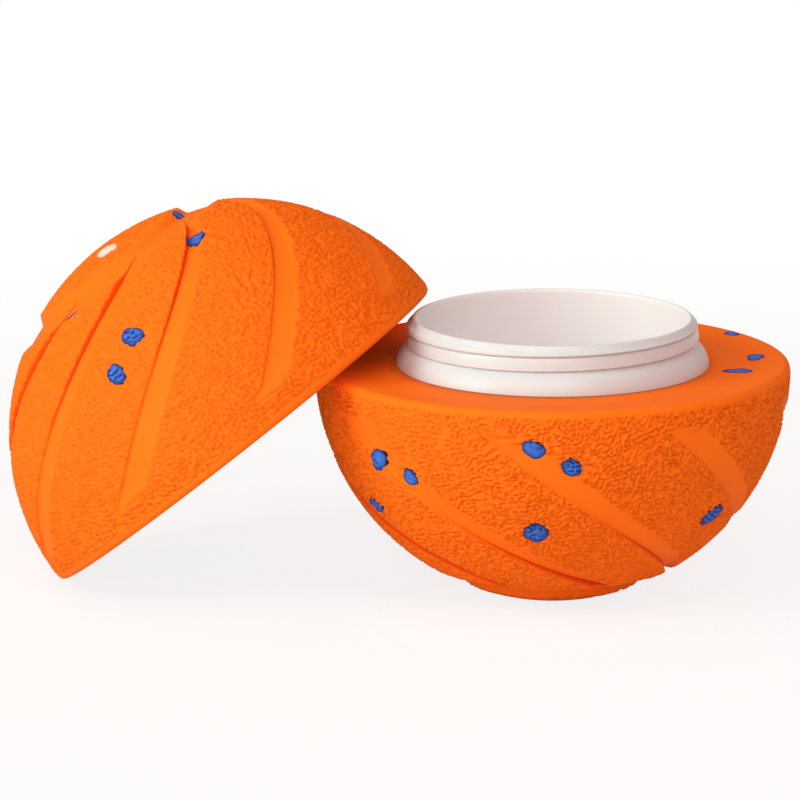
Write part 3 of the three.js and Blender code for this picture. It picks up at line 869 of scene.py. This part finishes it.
def mouldedRubber(name, look):
    material = newMaterial(name)
    tree = material.node_tree
    rest = addNode(tree, "ShaderNodeAttribute", {"attribute_name": "rest"}).outputs["Vector"]
    land, worm, brim, crease = [addNode(tree, "ShaderNodeAttribute", {"attribute_name": label}).outputs["Fac"]
                                for label in ("land", "worm", "brim", "crease")]
    # mottling from the mix
    mottle = addNode(tree, "ShaderNodeTexNoise", {},
                     {"Vector": rest, "Scale": 1 / (look["mottleSize"] * mm), "Detail": 3.0})
    # painted shade: the lower a point lies in the worm texture, the more hollow colour it takes
    paintedValleyShade = addNode(tree, "ShaderNodeMapRange", {},
                         {"Value": worm, "From Min": 0.0, "From Max": 1.0,
                          "To Min": look["hollowShare"], "To Max": 0.0})
    valleyShadeOnLand = addNode(tree, "ShaderNodeMath", times, {0: paintedValleyShade, 1: land})
    # painted shade at the foot of each groove's wall
    paintedShadeInCrease = addNode(tree, "ShaderNodeMath", times, {0: crease, 1: look["paintedCreaseShade"]})
    paintedShade = addNode(tree, "ShaderNodeMath", larger, {0: valleyShadeOnLand, 1: paintedShadeInCrease})
    hollowShare = addNode(tree, "ShaderNodeMath", larger, {0: paintedShade, 1: brim})
    mottled = addNode(tree, "ShaderNodeMix", {"data_type": "RGBA"},
                      {"Factor": mottle.outputs["Fac"],
                       6: hexColour(look["colour"]), 7: hexColour(look["mottle"])})
    # the hollow colour is painted shade in the texture's hollows and the creases; a fleck's brim also takes
    # it towards its edge
    colour = addNode(tree, "ShaderNodeMix", {"data_type": "RGBA"},
                     {"Factor": hollowShare, 6: mottled.outputs[2], 7: hexColour(look["hollow"])})
    roughness, bump = mouldedGrain(tree, rest, rubber, look["roughness"])
    shader = addNode(tree, "ShaderNodeBsdfPrincipled", {},
                     {"Base Color": colour.outputs[2], "Roughness": roughness, "Normal": bump,
                      "IOR": rubber["ior"], "Specular IOR Level": look["shine"]})
    addNode(tree, "ShaderNodeOutputMaterial", {}, {"Surface": shader})
    return material


# mottleSize in mm: the ball's mix is even over wide patches, and the blue crumbs' mix is coarse
# hollow is the painted shade colour of each rubber's texture hollows, and on the orange also of the groove
# creases
orangeRubber = mouldedRubber("moulded_orange_rubber", {
    "colour": "#FF7A13", "mottle": "#FF7411", "mottleSize": 7.0, "hollow": "#D83204", "hollowShare": 0.14,
    "paintedCreaseShade": 0.9, "roughness": 0.7, "shine": 0.1})
blueRubber = mouldedRubber("moulded_blue_rubber", {
    "colour": "#4593FF", "mottle": "#0A2C9E", "mottleSize": 0.9, "hollow": "#0B1F68", "hollowShare": 0.9,
    "paintedCreaseShade": 0.0, "roughness": 0.65, "shine": 0.3})
whiteRubber = mouldedRubber("moulded_white_rubber", {
    "colour": "#F2E9E4", "mottle": "#EBDCD6", "mottleSize": 7.0, "hollow": "#D9B8A8", "hollowShare": 0.5,
    "paintedCreaseShade": 0.0, "roughness": 0.65, "shine": 0.3})

# Injection moulded polypropylene: a satin skin that is smooth to the touch, light sinking a little way in,
# a faint unevenness from the melt's flow, and a paler inside: painted light that brightens the inside faces
plastic = {"flow": 9.0, "grain": 0.4, "grainDepth": 0.01, "bump": 0.15, "uneven": 0.05, "low": 0.3,
           "high": 0.7, "ior": 1.49, "sinkIn": 2.0, "sinkColour": (1.0, 0.97, 0.95)}


def mouldedPlastic(name, look):
    material = newMaterial(name)
    tree = material.node_tree
    place = addNode(tree, "ShaderNodeTexCoord").outputs["Object"]
    flow = addNode(tree, "ShaderNodeTexNoise", {},
                   {"Vector": place, "Scale": 1 / (plastic["flow"] * mm), "Detail": 2.0})
    inner = addNode(tree, "ShaderNodeAttribute", {"attribute_name": "inner"}).outputs["Fac"]
    outerColour = addNode(tree, "ShaderNodeMix", {"data_type": "RGBA"},
                          {"Factor": flow.outputs["Fac"],
                           6: hexColour(look["colour"]), 7: hexColour(look["shade"])})
    # painted light: the inside faces take the paler inside colour
    colour = addNode(tree, "ShaderNodeMix", {"data_type": "RGBA"},
                     {"Factor": inner, 6: outerColour.outputs[2], 7: hexColour(look["inside"])})
    roughness, bump = mouldedGrain(tree, place, plastic, look["roughness"])
    shader = addNode(tree, "ShaderNodeBsdfPrincipled", {},
                     {"Base Color": colour.outputs[2], "Roughness": roughness, "Normal": bump,
                      "IOR": plastic["ior"], "Subsurface Weight": look["depth"],
                      "Subsurface Radius": plastic["sinkColour"], "Subsurface Scale": plastic["sinkIn"] * mm})
    addNode(tree, "ShaderNodeOutputMaterial", {}, {"Surface": shader})
    return material


whitePlastic = mouldedPlastic("moulded_white_polypropylene", {
    "colour": "#DAE4E8", "shade": "#D6E0E4", "inside": "#F2F3F4", "roughness": 0.36, "depth": 0.1})
# silicone for the seal is moulded the same way, and is duller
greySilicone = mouldedPlastic("moulded_grey_silicone", {
    "colour": "#D9DCDC", "shade": "#D0D4D4", "inside": "#D9DCDC", "roughness": 0.5, "depth": 0.1})
print("materials ready")


def finished(piece, body, slot, *nodes):
    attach(piece, body)
    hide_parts(*nodes)


ballSkin = buildBallSkin()
screwThread = buildScrewThread()

# Rooms in the rubber for the jar and the liner, with the pole up, from the room's end to the seam face
jarSlot = {"radius": jarKey["radius"] + fit, "low": -jarKey["high"] - fit, "high": -jarKey["low"] + fit}
linerSlot = {"radius": linerKey["radius"] + fit, "low": linerKey["low"] - fit, "high": linerKey["high"] + fit}


def slotRows(slot):
    return [slot["high"] + keys["end"], slot["high"], slot["low"], slot["low"] - keys["end"]]


jarRoom = arcPoints(0, jar["straight"], jar["outer"] + fit, jar["bowlDepth"] - jar["straight"] + fit,
                    90, jar["roomEnd"], jar["roomRows"])
jarRoom += [(jar["outer"] + fit, z) for z in slotRows(jarSlot) + [0.0]]
linerTop, flangeTop = liner["shoulder"] + fit, liner["flangeThickness"] + fit
linerRoom = arcPoints(0, linerTop, liner["domeBore"] + liner["wall"] + fit,
                      jar["bowlDepth"] - liner["shoulder"], 90, 0, liner["roomRows"])
linerRoom += [(liner["outer"] + fit, z) for z in [linerTop] + slotRows(linerSlot) + [flangeTop]]
linerRoom += [(liner["flange"] + fit, flangeTop), (liner["flange"] + fit, 0.0)]

lowerNodes = sorted(n for n in frame["nodes"] if n.startswith("blue_fleck_lower"))
upperNodes = sorted(n for n in frame["nodes"] if n.startswith("blue_fleck_upper")) + ["white_fleck_upper"]
halves = (
    {"shell": "lower_shell", "side": -1, "phase": ball["lowerPhase"], "place": lowerPlace,
     "body": "lower_half", "room": jarRoom, "slot": jarSlot,
     "outlines": [fleckOutline(n, lowerPlace, i) for i, n in enumerate(lowerNodes)]},
    {"shell": "upper_shell", "side": 1, "phase": ball["upperPhase"], "place": lidPlace,
     "body": "lid", "room": linerRoom, "slot": linerSlot,
     "outlines": [fleckOutline(n, lidPlace, i + flecks["firstUpper"]) for i, n in enumerate(upperNodes)]},
)
for half in halves:
    for outline in half["outlines"]:
        isWhite = outline["node"].startswith("white")
        crumb = whiteRubber if isWhite else blueRubber
        values = skinValues(half["side"], half["phase"], flecks["proud"], crumb)
        values["Ridge Height"] *= flecks["ridge"]
        fleck = shaped(outline["node"] + "_look", fleckMesh(outline), ballSkin, values, half["place"])
        finished(fleck, half["body"], "white_rubber" if isWhite else "blue_rubber", outline["node"])
print("flecks ready:", sum(len(half["outlines"]) for half in halves))

for half in halves:
    pockets = [outline for outline in half["outlines"] if not outline["onFace"]]
    mesh = halfBall(half["shell"], half["side"], half["phase"], half["room"], half["slot"], pockets)
    values = skinValues(half["side"], half["phase"], 0.0, orangeRubber)
    shell = shaped(half["shell"] + "_look", mesh, ballSkin, values, half["place"])
    finished(shell, half["body"], "orange_rubber", half["shell"])
    print(half["shell"], "ready:", len(shell.data.polygons), "triangles")

jarThread = threadValues(whitePlastic, thread["between"], 1 - thread["between"], thread["height"])
# screwed shut, the lid's middle stands two rims over the lower half's
linerThread = threadValues(whitePlastic, -1.0, 1.0, thread["height"] - fit, 2 * ball["rimRise"])
turned = (
    ("jar", turnedMesh("jar", jarProfile(), jar["columns"], jarKey), jarThread,
     lowerPlace, "lower_half", "white_plastic"),
    ("lid_liner", turnedMesh("lid_liner", linerProfile(), liner["columns"], linerKey), linerThread,
     lidPlace, "lid", "white_plastic"),
    ("lid_seal", turnedMesh("lid_seal", sealProfile(), seal["columns"]), threadValues(greySilicone),
     lidPlace, "seal_ring", "grey_silicone"),
)
for node, mesh, values, place, body, slot in turned:
    finished(shaped(node + "_look", mesh, screwThread, values, place), body, slot, node)
print("jar, liner and seal ready")

# Floor and backdrop in one sheet, white to the camera and keeping the shadow. Sizes in metres
stage = {"floor": "#F4F3F1", "size": 6.0, "drop": 0.05 * mm, "nearGlow": 0.84, "near": 0.1, "far": 0.3}
floorCorners = [(x * stage["size"], y * stage["size"], -stage["drop"])
                for x, y in ((-1, -1), (1, -1), (1, 1), (-1, 1))]
floor = bpy.data.objects.new("floor", newMesh("floor", floorCorners, [(0, 1, 2, 3)], {}))
scene.collection.objects.link(floor)
paper = newMaterial("pale_matt_paper")
sheet = paper.node_tree
seen = addNode(sheet, "ShaderNodeLightPath").outputs
sees = addNode(sheet, "ShaderNodeMath", larger, {0: seen["Is Camera Ray"], 1: seen["Is Glossy Ray"]})
seesAll = addNode(sheet, "ShaderNodeMath", larger, {0: sees, 1: seen["Is Transmission Ray"]})
spot = addNode(sheet, "ShaderNodeTexCoord").outputs["Object"]
fromMiddle = addNode(sheet, "ShaderNodeVectorMath", {"operation": "LENGTH"}, {0: spot})
whiter = addNode(sheet, "ShaderNodeMapRange", softStep,
                 {"Value": fromMiddle, "From Min": stage["near"], "From Max": stage["far"],
                  "To Min": stage["nearGlow"]})
glowShare = addNode(sheet, "ShaderNodeMath", times, {0: seesAll, 1: whiter})
matt = addNode(sheet, "ShaderNodeBsdfDiffuse", {}, {"Color": hexColour(stage["floor"])})
glow = addNode(sheet, "ShaderNodeEmission", {}, {"Color": white, "Strength": 1.0})
mixed = addNode(sheet, "ShaderNodeMixShader", {}, {0: glowShare, 1: matt, 2: glow})
addNode(sheet, "ShaderNodeOutputMaterial", {}, {"Surface": mixed})
floor.data.materials.append(paper)

# Room light all round, white to the camera
studio = {"around": 0.5, "tint": "#FFD6CE"}
world = bpy.data.worlds.new("studio")
scene.world = world
world.use_nodes = True
sky = world.node_tree
sky.nodes.clear()
background = addNode(sky, "ShaderNodeBackground", {},
                     {"Color": hexColour(studio["tint"]), "Strength": studio["around"]})
whiteOut = addNode(sky, "ShaderNodeBackground", {}, {"Color": white, "Strength": 1.0})
rays = addNode(sky, "ShaderNodeLightPath").outputs
shown = addNode(sky, "ShaderNodeMixShader", {}, {0: rays["Is Camera Ray"], 1: background, 2: whiteOut})
addNode(sky, "ShaderNodeOutputWorld", {}, {"Surface": shown})

# Softboxes: place, aim and size in metres, power in watts
lamps = {
    "key": {"place": (-0.86, -0.62, 0.5), "aim": (-0.02, 0, 0.03), "size": 0.6, "power": 7.4,
            "tint": "#ECFFF3"},
    "top": {"place": (0.05, -0.8, 0.75), "aim": (0, 0, 0.03), "size": 0.9, "power": 5.6,
            "tint": "#FFF6F2"},
}
for label, lamp in lamps.items():
    light = bpy.data.lights.new(label, "AREA")
    light.shape = "SQUARE"
    light.size = lamp["size"]
    light.energy = lamp["power"]
    light.color = hexColour(lamp["tint"])[:3]
    holder = bpy.data.objects.new(label, light)
    holder.location = lamp["place"]
    holder.rotation_mode = "QUATERNION"
    holder.rotation_quaternion = (Vector(lamp["aim"]) - Vector(lamp["place"])).to_track_quat("-Z", "Y")
    scene.collection.objects.link(holder)

# Camera at the photograph's angle: a long lens from about a metre. Lengths in metres, lens and sensor in mm
shot = {"distance": 0.988, "azimuth": 9.3, "elevation": 12.4, "yaw": 10.7515, "pitch": 12.7507,
        "lens": 277.3, "sensor": 36.0, "near": 0.05, "far": 20.0}
lens = bpy.data.cameras.new("camera")
lens.lens = shot["lens"]
lens.sensor_width = shot["sensor"]
lens.clip_start = shot["near"]
lens.clip_end = shot["far"]
camera = bpy.data.objects.new("camera", lens)
scene.collection.objects.link(camera)
azimuth, elevation = math.radians(shot["azimuth"]), math.radians(shot["elevation"])
flat = math.cos(elevation)
back = Vector((math.sin(azimuth) * flat, -math.cos(azimuth) * flat, math.sin(elevation)))
camera.location = Vector((0, 0, seamHeight)) + shot["distance"] * back
camera.rotation_euler = (math.pi / 2 - math.radians(shot["pitch"]), 0, math.radians(shot["yaw"]))
scene.camera = camera
scene.view_settings.view_transform = "Standard"
print("stage, lamps and camera ready")
